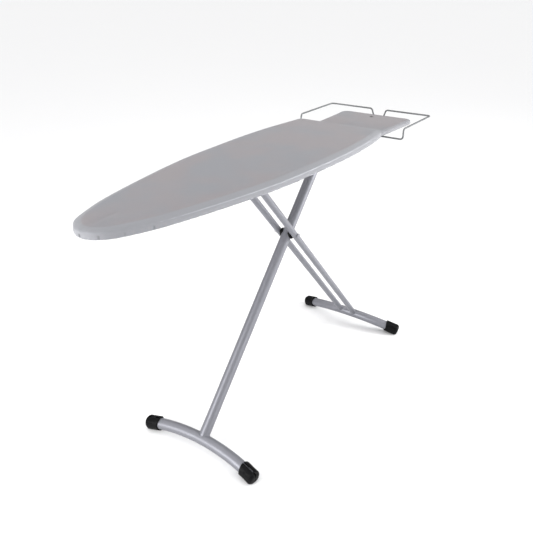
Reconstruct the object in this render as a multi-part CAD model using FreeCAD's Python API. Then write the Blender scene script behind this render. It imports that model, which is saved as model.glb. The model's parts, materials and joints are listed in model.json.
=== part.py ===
import FreeCAD, Part
import math
import os

# Ironing board on crossed folding legs, in millimetres. +X runs along the board from nose to tail,
# +Z is up, and the origin lies on the floor under the middle of the overall length.

V = FreeCAD.Vector
os.makedirs("parts", exist_ok=True)

# ---- board ----
board_height = 900.0        # floor to ironing surface
board_length = 1160.0
board_width = 392.0
plan_stations = [           # share of the length from the nose, share of the half width
    (1.0, 0.852), (0.88, 0.955), (0.75, 1.0), (0.6, 0.982), (0.46, 0.934), (0.32, 0.812),
    (0.2, 0.669), (0.11, 0.527), (0.05, 0.379), (0.02, 0.262), (0.006, 0.158),
]
shoulder_radius = 26.0
side_samples = 40
cover_thickness = 1.2
pad_thickness = 6.0
panel_thickness = 0.8
rim_height = 16.0
rim_width = 15.0
rim_wall = 1.2
hem_width = 24.0
edge_rounding = 7.5

# ---- rest plate behind the board ----
tail_drop = 26.0            # ironing surface to the top of the rest plate
tail_gap = 1.5
tail_length = 300.0
tail_front_width = 272.0
tail_back_width = 300.0
tail_corner_radius = 30.0
tail_pad_thickness = 4.0
tail_core_thickness = 9.6
tail_hem_width = 15.0
tail_rounding = 4.5
rail_spacing = 150.0
rail_size = (14.0, 14.0)    # width, height
rail_wall = 1.4
rail_front_reach = 78.0     # how far the rails run forward under the board
rail_back_margin = 24.0
plate_screw_reach = (76.5, 38.0)    # rest plate's front and back edges to its screws
screw_radius = 2.5
screw_depth = 6.5           # into the rest plate
screw_head = (5.0, 2.4)     # radius, height
plug_from_back = 56.0
plug_radius = 4.0
plug_rim = (2.0, 1.0)       # the plug's head beyond its hole, and its height

# ---- iron rest hoops ----
wire_radius = 3.0
wire_bend = 11.0
wire_span = 424.0           # centre to centre of the two side runs
wire_top_gap = 18.0         # rest plate top to the centre of the upper run
wire_front_from_back = 230.0
wire_standoff = 8.0         # rest plate's back edge to the centre of the rear run
wire_inner_low = 17.0
wire_inner_high = 31.0
wire_clear = 0.4
clamp_size = (26.0, 28.0, 9.0)
clamp_inset = 97.0          # centre plane to the inner end of a hoop's low run
clamp_wall = 3.0            # beyond a wire's end
clamp_rounding = 2.0
rear_clamp_from_back = 62.0
rear_clamp_length = 32.0
rear_clamp_margin = 12.0    # the clamp beyond a wire's centre

# ---- legs ----
leg_angle = 48.6            # degrees above the floor
fold_stop = 3.0             # degrees short of flat when folded
pivot_drop = 45.0           # ironing surface to the leg pivots
pivot_from_nose = 1054.0
upper_arm = 350.0           # either pivot to the crossing, equal so that the slider stays level
front_tube_radius = 17.5
twin_tube_radius = 11.0
tube_wall = 1.2
twin_gap = 3.5              # front tube to each twin tube
tube_top_reach = 16.0       # tube end beyond its top pivot
twin_top_reach = 12.0
foot_half_width = 202.0     # centre plane to the middle of a foot cap
front_foot_radius = 19.0
rear_foot_radius = 18.0
front_foot_drop = 19.0      # how much lower the foot tube is at its caps than at its middle
rear_foot_drop = 26.0
foot_end_reach = 12.0       # foot tube beyond the middle of its cap
cap_wall = 4.5
cap_length = 52.0
cap_end_rounding = 8.0
cap_mouth_rounding = 1.5

# ---- pins and running fits ----
pin_radius = 5.0
running_fit = 0.06
washer_gap = 0.1
beyond = 1.0                # how far a cutter runs past what it cuts
seat_fit = 0.05
slip = 0.3                  # between faces that pass each other
head_radius = 8.5
head_height = 3.0
bush_wall = 3.0
spacer_radius = 15.0
spacer_start = 9.6          # centre plane to where a spacer's rim begins
nut_radius = 8.2
nut_height = 7.0
bolt_past_nut = 1.7
clip_thickness = 1.2
tube_plug_depth = 2.0
tube_plug_head = 1.5

# ---- structure under the panel ----
spine_width = 60.0
spine_depth = 10.0
spine_wall = 1.5
spine_front = 290.0         # from the nose
spine_back = 1130.0
bar_width = 20.0
bar_thickness = 5.0
bar_stations = (300.0, 700.0, 1010.0)
brace_width = 24.0
brace_wall = 1.6
brace_half_length = 150.0
brace_from_tail = (20.0, 60.0)
bracket_wall = 3.0
bracket_web = 2.0
bracket_side_gap = 0.8      # front tube to an ear
bracket_length = 44.0
ear_radius = 14.0

# ---- slider, its guide rod and the release ----
rod_radius = 5.0
rod_drop = 30.0             # ironing surface to the guide rod
rod_overhang = 8.0
rod_bracket_thickness = 4.0
rod_bracket_half_width = 15.0
rod_bracket_below = 5.0     # bracket under the rod
rod_bracket_foot = (22.0, 2.4)      # length, thickness
rod_bracket_clear = 10.0    # slider to a rod bracket at either end of the travel
carriage_size = (48.0, 34.0, 32.0)
carriage_below_axle = 10.0
carriage_rounding = 3.0
carriage_end_wall = 7.0
carriage_side_wall = 4.0
carriage_floor = 2.4        # over the axle's bore, under the pocket
axle_overhang = 3.0
lock_front_from_axle = 8.0
lock_rocker_radius = 1.2
lock_top_gap = 1.6          # slider to the plates' tail
lock_plate_thickness = 2.5
lock_plate_gap = 3.5
lock_plate_width = 22.0
lock_tail_length = 22.0
lock_tail_thickness = 1.6
lock_tail_gap = 1.5         # release bar to the tip of the plates' tail
lock_tip = 3.0
lock_hole_clear = 0.9
spring_thickness = 0.7
spring_width = 15.0
spring_half_height = 6.6
spring_folds = 4
spring_play = 1.2
release_bar_width = 14.0
release_bar_thickness = 1.6
release_bar_drop = 13.0     # ironing surface to the top of the release bar
release_roll_radius = 1.5
release_swing_room = 3.6    # under the bar, for its far edge
lever_width = 14.0
lever_thickness = 3.0
lever_from_nose = 668.0
lever_knee = (-20.0, -28.0) # across, and below the ironing surface
lever_hand = (-78.0, -46.0)
lever_end = (-137.0, -48.0)
grip_size = (22.0, 13.0)
grip_rounding = 4.0
grip_past_end = 5.0
grip_from_bend = 6.0

# ---- places worked out from the sizes above ----
tail_back = board_length + tail_gap + tail_length
total_length = tail_back + wire_standoff + wire_radius
nose_x = -total_length / 2
tail_x = nose_x + board_length
back_x = nose_x + tail_back
panel_top = board_height - cover_thickness - pad_thickness
panel_under = panel_top - panel_thickness
rim_bottom = panel_under - rim_height
hem_bottom = rim_bottom - cover_thickness
tail_top = board_height - tail_drop
tail_core_top = tail_top - cover_thickness - tail_pad_thickness
tail_core_bottom = tail_core_top - tail_core_thickness
tail_bottom = tail_core_bottom - cover_thickness
spine_under = panel_under - spine_wall
pivot_z = board_height - pivot_drop
rod_z = board_height - rod_drop
slope = math.radians(leg_angle)
along_front = V(-math.cos(slope), 0, -math.sin(slope))
along_rear = V(math.cos(slope), 0, -math.sin(slope))
pivot = V(nose_x + pivot_from_nose, 0, pivot_z)
crossing = pivot + along_front * upper_arm
slider = crossing - along_rear * upper_arm
twin_y = front_tube_radius + twin_gap + twin_tube_radius
front_cap_z = front_foot_radius + cap_wall
rear_cap_z = rear_foot_radius + cap_wall
front_mid = crossing + along_front * ((crossing.z - front_cap_z - front_foot_drop) / math.sin(slope))
rear_mid = crossing + along_rear * ((crossing.z - rear_cap_z - rear_foot_drop) / math.sin(slope))
folded_slider_x = pivot.x - 2 * upper_arm * math.cos(math.radians(fold_stop))
made = []


def save(shape, name):
    shape.exportStep("parts/" + name + ".step")
    made.append(name)


def rod(start, end, radius):
    # a round bar between two points
    run = end - start
    return Part.makeCylinder(radius, run.Length, start, run)


def tube(start, end, radius, wall):
    return rod(start, end, radius).cut(rod(start, end, radius - wall))


def block(low, high):
    size = high - low
    return Part.makeBox(size.x, size.y, size.z, low)


def across(x, z, y0, y1, radius):
    # a round bar square to the board's length
    return rod(V(x, y0, z), V(x, y1, z), radius)


def cross_bore(x, z, radius):
    # a cutter as wide as the board for what a pin passes through
    return across(x, z, -board_width / 2, board_width / 2, radius)


def upright_bore(x, y, low, high, radius):
    return rod(V(x, y, low - beyond), V(x, y, high + beyond), radius)


def group(solids):
    return Part.makeCompound(solids)


def edges_where(shape, test):
    return [edge for edge in shape.Edges if test(edge)]


def at_height(edge, z):
    return abs(edge.BoundBox.ZMin - z) < 0.01 and abs(edge.BoundBox.ZMax - z) < 0.01


def prism(wire, low, high):
    face = Part.Face(wire)
    face.translate(V(0, 0, low))
    return face.extrude(V(0, 0, high - low))


def side_curve():
    # the boat-shaped side of the board, one smooth curve from shoulder to shoulder round the nose
    half = board_width / 2
    side = [V(nose_x + along * board_length, share * half, 0) for along, share in plan_stations]
    other = [V(point.x, -point.y, 0) for point in reversed(side)]
    curve = Part.BSplineCurve()
    curve.interpolate(side + [V(nose_x, 0, 0)] + other)
    return curve


def inward(curve, where):
    # unit vector square to the side, pointing into the board
    tangent = curve.tangent(where)[0]
    tangent.normalize()
    return V(-tangent.y, tangent.x, 0)


def shoulder_start(curve):
    # where along the side the shoulder's arc begins: its centre is one radius in from side and tail end
    low, high = curve.FirstParameter, (curve.FirstParameter + curve.LastParameter) / 2
    for _ in range(40):
        middle = (low + high) / 2
        centre = curve.value(middle) + inward(curve, middle) * shoulder_radius
        if centre.x > tail_x - shoulder_radius:
            low = middle
        else:
            high = middle
    return low


def corner_arc(start, centre, end):
    radius = (start - centre).Length
    way = (start - centre) + (end - centre)
    way.normalize()
    return Part.Arc(start, centre + way * radius, end).toShape()


def board_outline(distance=0):
    # the board's plan, drawn in all round by a distance
    curve = side_curve()
    begin = shoulder_start(curve)
    finish = curve.FirstParameter + curve.LastParameter - begin
    steps = [begin + (finish - begin) * number / side_samples for number in range(side_samples + 1)]
    points = [curve.value(step) + inward(curve, step) * distance for step in steps]
    side = Part.BSplineCurve()
    side.interpolate(Points=points, InitialTangent=curve.tangent(begin)[0],
                     FinalTangent=curve.tangent(finish)[0])
    first = curve.value(begin) + inward(curve, begin) * shoulder_radius
    last = V(first.x, -first.y, 0)
    reach = V(shoulder_radius - distance, 0, 0)
    return Part.Wire([side.toShape(), corner_arc(points[-1], last, last + reach),
                      Part.LineSegment(last + reach, first + reach).toShape(),
                      corner_arc(first + reach, first, points[0])])


def tail_outline(distance=0):
    # the rest plate's plan, a little wider at the back, with rounded back corners
    front = V(tail_x + tail_gap, tail_front_width / 2, 0)
    back = V(back_x, tail_back_width / 2, 0)
    along = back - front
    along.normalize()
    square = V(along.y, -along.x, 0)
    start = front + square * distance
    start += along * ((front.x + distance - start.x) / along.x)
    inner_x = back_x - tail_corner_radius
    centre = front + square * tail_corner_radius
    centre += along * ((inner_x - centre.x) / along.x)
    touch = centre - square * (tail_corner_radius - distance)
    end = centre + V(tail_corner_radius - distance, 0, 0)
    flip = [V(point.x, -point.y, 0) for point in (start, touch, centre, end)]
    return Part.Wire([Part.LineSegment(start, touch).toShape(), corner_arc(touch, centre, end),
                      Part.LineSegment(end, flip[3]).toShape(), corner_arc(flip[3], flip[2], flip[1]),
                      Part.LineSegment(flip[1], flip[0]).toShape(),
                      Part.LineSegment(flip[0], start).toShape()])


def domed(wire, low, high, rounding):
    # a prism with its top edge rounded over
    solid = prism(wire, low, high)
    return solid.makeFillet(rounding, edges_where(solid, lambda edge: at_height(edge, high)))


def slice_between(solid, low, high):
    box = solid.BoundBox
    return solid.common(block(V(box.XMin - 1, box.YMin - 1, low), V(box.XMax + 1, box.YMax + 1, high)))


def make_board_skin():
    # cover, pad, mesh panel and edge rim, each filling the room that the next one leaves
    outline = board_outline
    outer = domed(outline(), hem_bottom, board_height, edge_rounding)
    inner_wire = outline(cover_thickness)
    inner_rounding = edge_rounding - cover_thickness
    inner = domed(inner_wire, rim_bottom, board_height - cover_thickness, inner_rounding)
    hem_opening = prism(outline(cover_thickness + hem_width), hem_bottom - beyond, rim_bottom + beyond)
    save(outer.cut(inner).cut(hem_opening), "board_cover")
    save(slice_between(inner, panel_top, board_height), "felt_pad")
    save(prism(inner_wire, panel_under, panel_top), "mesh_panel")
    ring = prism(inner_wire, rim_bottom, panel_under)
    ring = ring.cut(prism(outline(cover_thickness + rim_width), rim_bottom - beyond, panel_under + beyond))
    groove = prism(outline(cover_thickness + rim_wall), rim_bottom - beyond, panel_under - rim_wall)
    inside = cover_thickness + rim_width - rim_wall
    groove = groove.cut(prism(outline(inside), rim_bottom - 2 * beyond, panel_under))
    save(ring.cut(groove), "edge_rim")


def make_tail_skin():
    # cover, pad and fibreboard core of the rest plate, with the plug that hides its hole
    outline = tail_outline
    outer = domed(outline(), tail_bottom, tail_top, tail_rounding)
    inner_wire = outline(cover_thickness)
    inner_top = tail_top - cover_thickness
    inner = domed(inner_wire, tail_core_bottom, inner_top, tail_rounding - cover_thickness)
    opening_inset = cover_thickness + tail_hem_width
    hem_opening = prism(outline(opening_inset), tail_bottom - beyond, tail_core_bottom + beyond)
    plug_hole = upright_bore(plug_x(), 0, tail_core_bottom, tail_top, plug_radius)
    save(outer.cut(inner).cut(hem_opening).cut(plug_hole), "rest_plate_cover")
    save(slice_between(inner, tail_core_top, tail_top).cut(plug_hole), "rest_plate_pad")
    core = prism(inner_wire, tail_core_bottom, tail_core_top).cut(plug_hole)
    for x, y in rail_screw_places():
        if x > tail_x:
            hole_end = V(x, y, tail_core_bottom + screw_depth + slip)
            core = core.cut(rod(V(x, y, tail_core_bottom), hole_end, screw_radius))
    save(core, "rest_plate")
    plug = rod(V(plug_x(), 0, tail_core_bottom), V(plug_x(), 0, tail_top), plug_radius - seat_fit)
    top = V(plug_x(), 0, tail_top)
    head = rod(top, top + V(0, 0, plug_rim[1]), plug_radius + plug_rim[0])
    save(plug.fuse(head), "rest_plate_plug")


def plug_x():
    return back_x - plug_from_back


def rail_ends():
    return tail_x - rail_front_reach, back_x - rail_back_margin


def rail_screw_places():
    # two screws through each brace, two into the rest plate, on both rails
    stations = [tail_x - reach for reach in brace_from_tail]
    stations += [tail_x + plate_screw_reach[0], back_x - plate_screw_reach[1]]
    return [(x, side * rail_spacing / 2) for side in (-1, 1) for x in stations]


def make_rails():
    start, end = rail_ends()
    width, height = rail_size
    for side, name in ((-1, "left"), (1, "right")):
        y = side * rail_spacing / 2
        rail = block(V(start, y - width / 2, tail_bottom - height), V(end, y + width / 2, tail_bottom))
        inside = width / 2 - rail_wall
        rail = rail.cut(block(V(start - beyond, y - inside, tail_bottom - height + rail_wall),
                              V(end + beyond, y + inside, tail_bottom - rail_wall)))
        for x, screw_y in rail_screw_places():
            if screw_y * side > 0:
                rail = rail.cut(upright_bore(x, y, tail_bottom - height, tail_bottom, screw_radius))
        save(rail, "rest_rail_" + name)
    screws = []
    for x, y in rail_screw_places():
        low = tail_bottom - height
        top = tail_core_bottom + screw_depth if x > tail_x else tail_bottom + brace_wall
        shank = rod(V(x, y, low), V(x, y, top), screw_radius - seat_fit)
        screws.append(shank.fuse(rod(V(x, y, low - screw_head[1]), V(x, y, low), screw_head[0])))
    save(group(screws), "rest_rail_screws")


def make_braces():
    # two folded channels across the board under the hem, which the rails are screwed to
    for number, reach in enumerate(brace_from_tail, 1):
        x = tail_x - reach
        low = V(x - brace_width / 2, -brace_half_length, tail_bottom)
        brace = block(low, V(x + brace_width / 2, brace_half_length, hem_bottom))
        hollow_low = V(low.x + brace_wall, low.y - beyond, tail_bottom + brace_wall)
        hollow_high = V(x + brace_width / 2 - brace_wall, brace_half_length + beyond, hem_bottom - brace_wall)
        brace = brace.cut(block(hollow_low, hollow_high))
        for screw_x, y in rail_screw_places():
            if screw_x == x:
                brace = brace.cut(upright_bore(x, y, tail_bottom, tail_bottom + brace_wall, screw_radius))
        save(brace, "brace_%d" % number)


def make_cross_bars():
    # flat bars across the inside of the rim, cut to the rim's inner wall
    room = prism(board_outline(cover_thickness + rim_width), rim_bottom, panel_under)
    top = panel_under - spine_depth
    for number, station in enumerate(bar_stations, 1):
        x = nose_x + station
        low = V(x - bar_width / 2, -board_width, top - bar_thickness)
        bar = block(low, V(x + bar_width / 2, board_width, top))
        save(bar.common(room), "cross_bar_%d" % number)


def make_spine():
    low = V(nose_x + spine_front, -spine_width / 2, panel_under - spine_depth)
    high = V(nose_x + spine_back, spine_width / 2, panel_under)
    hollow = block(V(low.x - beyond, low.y + spine_wall, low.z - beyond),
                   V(high.x + beyond, high.y - spine_wall, spine_under))
    save(block(low, high).cut(hollow), "spine_channel")


def make_pivot_bracket():
    # a saddle under the spine with two ears that hold the front leg's pin
    web_low = spine_under - bracket_web
    inner = front_tube_radius + bracket_side_gap
    outer = inner + bracket_wall
    half = bracket_length / 2
    web = block(V(pivot.x - half, -outer, web_low), V(pivot.x + half, outer, spine_under))
    bracket = web
    for side in (-1, 1):
        y0, y1 = sorted((side * inner, side * outer))
        ear = block(V(pivot.x - half, y0, pivot_z), V(pivot.x + half, y1, web_low))
        ear = ear.fuse(across(pivot.x, pivot_z, y0, y1, ear_radius))
        trim = [V(pivot.x - half, 0, pivot_z), V(pivot.x - ear_radius, 0, pivot_z),
                V(pivot.x - half, 0, pivot_z + ear_radius), V(pivot.x - half, 0, pivot_z)]
        cut_face = Part.Face(Part.makePolygon(trim))
        cut_face.translate(V(0, y0 - beyond, 0))
        corner = cut_face.extrude(V(0, bracket_wall + 2 * beyond, 0))
        ear = ear.cut(corner).cut(corner.mirror(V(pivot.x, 0, 0), V(1, 0, 0)))
        bracket = bracket.fuse(ear)
    bracket = bracket.cut(cross_bore(pivot.x, pivot_z, pin_radius + seat_fit))
    save(bracket.removeSplitter(), "leg_bracket")
    reach = outer + slip
    pin = across(pivot.x, pivot_z, -reach, reach, pin_radius)
    for side in (-1, 1):
        y0, y1 = sorted((side * reach, side * (reach + head_height)))
        pin = pin.fuse(across(pivot.x, pivot_z, y0, y1, head_radius))
    save(pin, "leg_pin")
    bush_half = inner - slip / 2
    bush = across(pivot.x, pivot_z, -bush_half, bush_half, pin_radius + bush_wall)
    save(bush.cut(cross_bore(pivot.x, pivot_z, pin_radius + running_fit)), "leg_bush")


def foot_arc(middle, along, drop, extra):
    # the foot tube's centre line: an arc in the leg's own plane, its ends further down the leg
    sag = drop / math.sin(slope)
    bend = (foot_half_width ** 2 + sag ** 2) / (2 * sag)
    turn = math.asin(foot_half_width / bend) + extra / bend
    centre = middle + along * bend

    def at(angle):
        return centre - along * (bend * math.cos(angle)) + V(0, bend * math.sin(angle), 0)

    return at, turn, bend


def way_at(at, angle):
    # unit vector along the foot tube
    step = at(angle + 0.001) - at(angle)
    step.normalize()
    return step


def swept_arc(at, turn, radius):
    path = Part.Wire([Part.Arc(at(-turn), at(0), at(turn)).toShape()])
    circle = Part.Wire([Part.Circle(at(-turn), way_at(at, -turn), radius).toShape()])
    return path.makePipeShell([circle], True, False)


def foot_cap(point, outward, radius):
    # a boot rounded at its outer end and cut flat where it meets the floor
    half = outward * (cap_length / 2)
    cap = rod(point - half, point + half, radius + cap_wall)

    def rim(end):
        return edges_where(cap, lambda edge: edge.CenterOfMass.isEqual(end, 0.01))

    cap = cap.makeFillet(cap_end_rounding, rim(point + half))
    cap = cap.makeFillet(cap_mouth_rounding, rim(point - half))
    reach = V(cap_length, cap_length, 0)
    return cap.cut(block(point - reach - V(0, 0, cap_length + point.z), V(point.x, point.y, 0) + reach))


def make_foot(middle, along, drop, radius, name):
    at, turn, bend = foot_arc(middle, along, drop, foot_end_reach)
    outer = swept_arc(at, turn, radius)
    save(outer.cut(swept_arc(at, turn + beyond / bend, radius - tube_wall)), name + "_foot_tube")
    socket = swept_arc(at, turn, radius + seat_fit)
    for side, hand in ((-1, "left"), (1, "right")):
        angle = side * (turn - foot_end_reach / bend)
        cap = foot_cap(at(angle), way_at(at, angle) * side, radius)
        save(cap.cut(socket), name + "_cap_" + hand)
    return outer


def tube_plug(top, along, radius):
    # closes the top end of a leg tube
    plug = rod(top, top + along * tube_plug_depth, radius - tube_wall - seat_fit)
    return plug.fuse(rod(top - along * tube_plug_head, top, radius))


def make_front_leg():
    foot = make_foot(front_mid, along_front, front_foot_drop, front_foot_radius, "front")
    top = pivot - along_front * tube_top_reach
    leg = tube(top, front_mid, front_tube_radius, tube_wall)
    bush = cross_bore(pivot.x, pivot_z, pin_radius + bush_wall + seat_fit)
    bolt = cross_bore(crossing.x, crossing.z, pin_radius + running_fit)
    save(leg.cut(foot).cut(bush).cut(bolt), "front_leg_tube")
    save(tube_plug(top, along_front, front_tube_radius), "front_leg_plug")


def make_crossing():
    # the cross bolt runs in the front leg, and saddle spacers keep the twin tubes off it
    reach = twin_y + twin_tube_radius
    face = front_tube_radius + twin_gap - slip
    bolt_end = reach + slip + nut_height + bolt_past_nut
    bolt = across(crossing.x, crossing.z, -reach - slip, bolt_end, pin_radius)
    head = across(crossing.x, crossing.z, -reach - slip - head_height, -reach - slip, head_radius)
    rim = edges_where(head, lambda edge: edge.BoundBox.YMax < -reach - slip - head_height + 0.1)
    save(bolt.fuse(head.makeFillet(head_height * 0.6, rim)), "cross_bolt")
    turns = [math.radians(60 * corner) for corner in range(7)]
    nut_face = Part.makePolygon([V(crossing.x + nut_radius * math.cos(turn), reach + slip,
                                   crossing.z + nut_radius * math.sin(turn)) for turn in turns])
    nut = Part.Face(nut_face).extrude(V(0, nut_height, 0))
    save(nut.cut(cross_bore(crossing.x, crossing.z, pin_radius + seat_fit)), "cross_nut")
    leg_outside = rod(pivot, front_mid, front_tube_radius + seat_fit)
    for side, hand in ((-1, "left"), (1, "right")):
        y0, y1 = sorted((side * spacer_start, side * face))
        spacer = across(crossing.x, crossing.z, y0, y1, spacer_radius)
        spacer = spacer.cut(leg_outside)
        spacer = spacer.cut(cross_bore(crossing.x, crossing.z, pin_radius + running_fit))
        save(spacer, "cross_spacer_" + hand)


def make_rear_leg():
    foot = make_foot(rear_mid, along_rear, rear_foot_drop, rear_foot_radius, "rear")
    bolt = cross_bore(crossing.x, crossing.z, pin_radius + seat_fit)
    axle_hole = cross_bore(slider.x, slider.z, pin_radius + seat_fit)
    plugs = []
    for side, hand in ((-1, "left"), (1, "right")):
        offset = V(0, side * twin_y, 0)
        top = slider - along_rear * twin_top_reach + offset
        leg = tube(top, rear_mid + offset, twin_tube_radius, tube_wall)
        save(leg.cut(foot).cut(bolt).cut(axle_hole), "rear_leg_tube_" + hand)
        plugs.append(tube_plug(top, along_rear, twin_tube_radius))
    save(group(plugs), "rear_leg_plugs")
    reach = twin_y + twin_tube_radius
    save(across(slider.x, slider.z, -reach - axle_overhang, reach + axle_overhang, pin_radius), "slider_axle")
    clips = []
    washers = []
    inner = carriage_size[1] / 2
    for side in (-1, 1):
        y0, y1 = sorted((side * (reach + washer_gap), side * (reach + washer_gap + clip_thickness)))
        clips.append(across(slider.x, slider.z, y0, y1, head_radius).cut(axle_hole))
        y0, y1 = sorted((side * (inner + slip), side * (twin_y - twin_tube_radius - washer_gap)))
        washers.append(across(slider.x, slider.z, y0, y1, head_radius).cut(axle_hole))
    save(group(clips), "axle_clips")
    save(group(washers), "axle_washers")


def pocket_half():
    # half the length of the slider's pocket, which holds the lock plates and their spring
    return carriage_size[0] / 2 - carriage_end_wall


def pocket_floor_z():
    return slider.z + pin_radius + carriage_floor


def plate_x(number):
    return slider.x - lock_front_from_axle + number * (lock_plate_thickness + lock_plate_gap)


def make_carriage():
    length, width, height = carriage_size
    low = V(slider.x - length / 2, -width / 2, slider.z - carriage_below_axle)
    high = V(slider.x + length / 2, width / 2, low.z + height)
    body = block(low, high)
    long_edges = edges_where(body, lambda edge: edge.BoundBox.YLength > width / 2)
    body = body.makeFillet(carriage_rounding, long_edges)
    body = body.cut(cross_bore(slider.x, slider.z, pin_radius + running_fit))
    body = body.cut(rod(V(low.x - beyond, 0, rod_z), V(high.x + beyond, 0, rod_z), rod_radius + slip))
    pocket_low = V(slider.x - pocket_half(), low.y + carriage_side_wall, pocket_floor_z())
    pocket_high = V(slider.x + pocket_half(), high.y - carriage_side_wall, high.z + beyond)
    body = body.cut(block(pocket_low, pocket_high))
    save(body, "carriage")


def lock_rocker_z():
    return pocket_floor_z() + slip + lock_rocker_radius


def make_lock_plates():
    # two plates on the guide rod that rock on a rolled foot, joined by a tail whose raised tip
    # the release bar presses down
    low = lock_rocker_z()
    top = slider.z - carriage_below_axle + carriage_size[2] + lock_top_gap
    half = lock_plate_width / 2
    tip_start = plate_x(0) - lock_tail_length
    tail_end = plate_x(1) + lock_plate_thickness
    tail = block(V(tip_start, -half, top), V(tail_end, half, top + lock_tail_thickness))
    tip_top = release_bar_box()[0].z - lock_tail_gap
    plates = tail.fuse(block(V(tip_start, -half, top), V(tip_start + lock_tip, half, tip_top)))
    for number in range(2):
        x = plate_x(number)
        plates = plates.fuse(block(V(x, -half, low), V(x + lock_plate_thickness, half, top)))
    plates = plates.fuse(across(plate_x(0), low, -half, half, lock_rocker_radius))
    save(plates.cut(lock_hole()).removeSplitter(), "lock_plates")


def lock_hole():
    # room round the guide rod for what tilts on it
    reach = carriage_size[0] / 2
    return rod(V(slider.x - reach, 0, rod_z), V(slider.x + reach, 0, rod_z), rod_radius + lock_hole_clear)


def make_lock_spring():
    # a leaf folded to and fro round the guide rod, which pushes the lock plates towards the nose
    start = plate_x(1) + lock_plate_thickness + spring_play
    end = slider.x + pocket_half() - slip - spring_thickness
    step = (end - start) / spring_folds
    points = [V(start + fold * step, -spring_width / 2, rod_z + (-1) ** fold * spring_half_height)
              for fold in range(spring_folds + 1)]
    save(strip(points, spring_thickness / 2, V(0, spring_width, 0)).cut(lock_hole()), "lock_spring")


def rod_bracket_places():
    reach = carriage_size[0] / 2 + rod_bracket_clear
    return folded_slider_x - reach - rod_bracket_thickness, slider.x + reach


def make_guide_rod():
    first, last = rod_bracket_places()
    end = last + rod_bracket_thickness + rod_overhang
    save(rod(V(first - rod_overhang, 0, rod_z), V(end, 0, rod_z), rod_radius), "guide_rod")
    for x, foot, name in ((first, -1, "front"), (last, 1, "rear")):
        half = rod_bracket_half_width
        low = rod_z - rod_radius - rod_bracket_below
        thick = rod_bracket_thickness
        plate = block(V(x, -half, low), V(x + thick, half, spine_under))
        x0, x1 = sorted((x + thick / 2, x + thick / 2 + foot * rod_bracket_foot[0]))
        base = block(V(x0, -half, spine_under - rod_bracket_foot[1]), V(x1, half, spine_under))
        before, after = x - beyond, x + thick + beyond
        rod_hole = rod(V(before, 0, rod_z), V(after, 0, rod_z), rod_radius + seat_fit)
        bar_low, bar_high = release_bar_box()
        slot = block(V(before, bar_low.y - slip, bar_low.z - release_swing_room),
                     V(after, bar_high.y + slip, bar_high.z + slip))
        journal = rod(V(before, bar_low.y, roll_z()), V(after, bar_low.y, roll_z()),
                      release_roll_radius + running_fit)
        bracket = plate.fuse(base).cut(rod_hole)
        save(bracket.cut(slot).cut(journal).removeSplitter(), "rod_bracket_" + name)


def release_bar_box():
    first = rod_bracket_places()[0]
    top = board_height - release_bar_drop
    low = V(first + rod_bracket_thickness + slip, -release_bar_width / 2, top - release_bar_thickness)
    return low, V(nose_x + lever_from_nose + lever_width, release_bar_width / 2, top)


def roll_z():
    return board_height - release_bar_drop - release_bar_thickness / 2


def strip(points, half_thickness, width):
    # a bent strip: a line of points thickened square to each run, then drawn out along the width
    solid = None
    for before, after in zip(points, points[1:]):
        run = after - before
        run.normalize()
        square = width.cross(run)
        square.normalize()
        square = square * half_thickness
        start = before - run * half_thickness
        end = after + run * half_thickness
        corners = [start + square, end + square, end - square, start - square, start + square]
        piece = Part.Face(Part.makePolygon(corners)).extrude(width)
        solid = piece if solid is None else solid.fuse(piece)
    return solid


def make_release():
    # a flat bar over the whole travel, rolled along one edge and turned by a hand lever
    low, high = release_bar_box()
    bar = block(low, high)
    roll = rod(V(rod_bracket_places()[0], low.y, roll_z()), V(high.x, low.y, roll_z()), release_roll_radius)
    arm_x = nose_x + lever_from_nose
    route = [V(arm_x, low.y, roll_z())]
    route += [V(arm_x, y, board_height + z) for y, z in (lever_knee, lever_hand, lever_end)]
    arm = strip(route, lever_thickness / 2, V(lever_width, 0, 0))
    save(bar.fuse(roll).fuse(arm).removeSplitter(), "release_lever")
    wide, deep = grip_size
    middle_x = arm_x + lever_width / 2
    grip_z = board_height + lever_end[1]
    grip = block(V(middle_x - wide / 2, lever_end[0] - grip_past_end, grip_z - deep / 2),
                 V(middle_x + wide / 2, lever_hand[0] - grip_from_bend, grip_z + deep / 2))
    grip = grip.makeFillet(grip_rounding, grip.Edges)
    save(grip.cut(arm), "lever_grip")


def bent_wire(points, bend, radius):
    # straight runs joined by tangent arcs of one bend radius, swept with a round section
    edges = []
    start = points[0]
    for before, corner, after in zip(points, points[1:], points[2:]):
        back = before - corner
        ahead = after - corner
        back.normalize()
        ahead.normalize()
        half_turn = back.getAngle(ahead) / 2
        reach = bend / math.tan(half_turn)
        middle = back + ahead
        middle.normalize()
        centre = corner + middle * (bend / math.sin(half_turn))
        bend_start = corner + back * reach
        bend_end = corner + ahead * reach
        edges.append(Part.LineSegment(start, bend_start).toShape())
        edges.append(Part.Arc(bend_start, centre - middle * bend, bend_end).toShape())
        start = bend_end
    edges.append(Part.LineSegment(start, points[-1]).toShape())
    circle = Part.Wire([Part.Circle(points[0], points[1] - points[0], radius).toShape()])
    return Part.Wire(edges).makePipeShell([circle], True, False)


def rear_clamp_x():
    return back_x - rear_clamp_from_back


def wire_low():
    return tail_bottom - wire_radius - wire_clear


def hoop_points(side):
    low = wire_low()
    high = tail_top + wire_top_gap
    rear = back_x + wire_standoff
    front = back_x - wire_front_from_back
    outer = side * wire_span / 2
    return [V(rear_clamp_x() - rear_clamp_length / 2 + clamp_wall, side * wire_inner_low, low),
            V(rear, side * wire_inner_low, low), V(rear, side * wire_inner_high, high),
            V(rear, outer, high), V(front, outer, high), V(front, outer, low),
            V(front, side * clamp_inset, low)]


def clamp_block(low, high):
    # a moulded block with its lower edges rounded
    clamp = block(low, high)
    return clamp.makeFillet(clamp_rounding, edges_where(clamp, lambda edge: at_height(edge, low.z)))


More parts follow.
